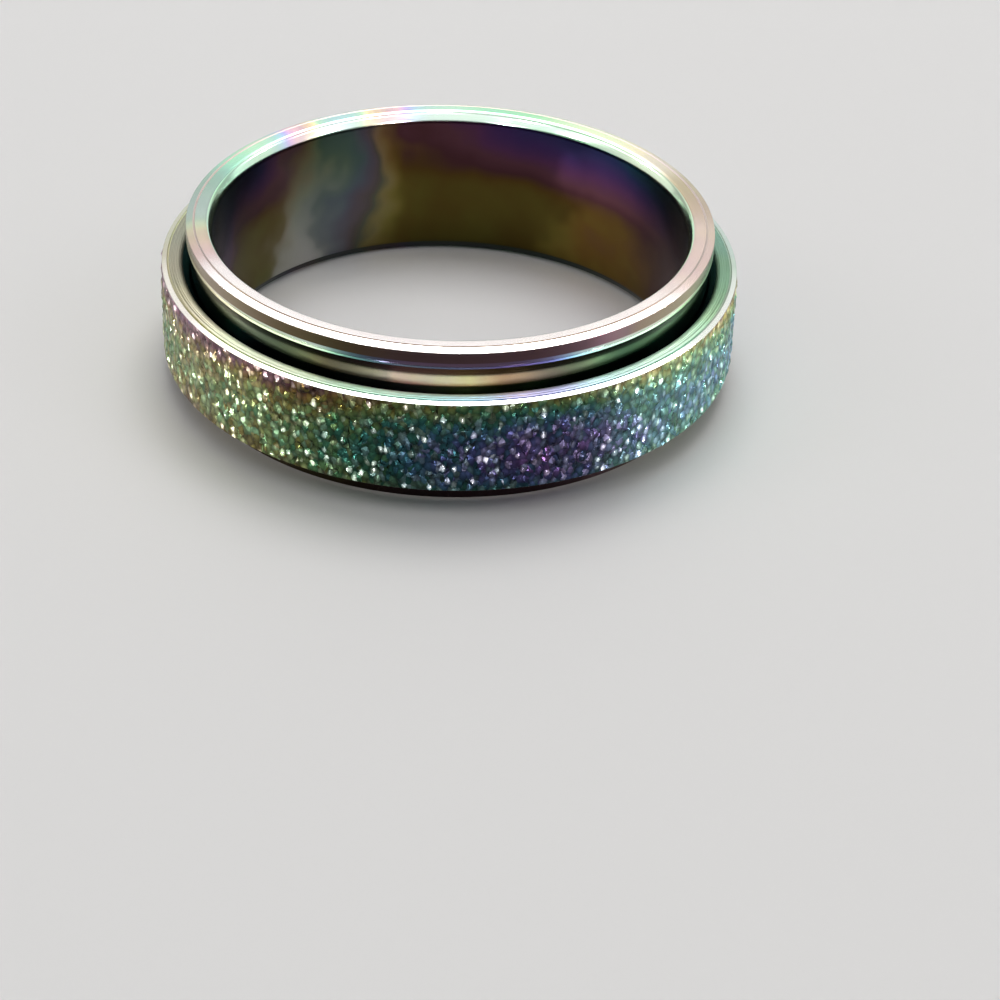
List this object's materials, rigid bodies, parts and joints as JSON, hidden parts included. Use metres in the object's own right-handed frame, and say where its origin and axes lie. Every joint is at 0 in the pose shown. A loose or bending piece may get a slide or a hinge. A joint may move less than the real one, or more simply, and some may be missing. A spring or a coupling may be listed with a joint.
{
  "type": "spinner ring",
  "caption": "Finger ring with a channelled inner band and a loose textured outer band that turns freely between its two lips.",
  "frame": {"origin": "centre of the lower rim's plane, on the ring's axis, where the ring stands as it lies on its side", "axes": "+Z along the axis of the finger bore, up as the ring lies; X and Y are alike on a round ring, and -Y faces the viewer"},
  "size_m": [0.021, 0.021, 0.006],
  "materials": {
    "polished_rainbow_steel": "polished steel under a thin rainbow interference coating",
    "blasted_rainbow_steel": "coarsely blasted, sparkling steel under a rainbow interference coating, with polished edges"
  },
  "bodies": {
    "band": {"inner_band": "polished_rainbow_steel"},
    "spinner": {"spinner_band": "blasted_rainbow_steel"}
  },
  "joints": [
    {"name": "spinner_turn", "type": "hinge", "parent": "band", "child": "spinner", "pos_m": [0, 0, 0.00268], "axis": [0, 0, 1], "continuous": true}
  ]
}
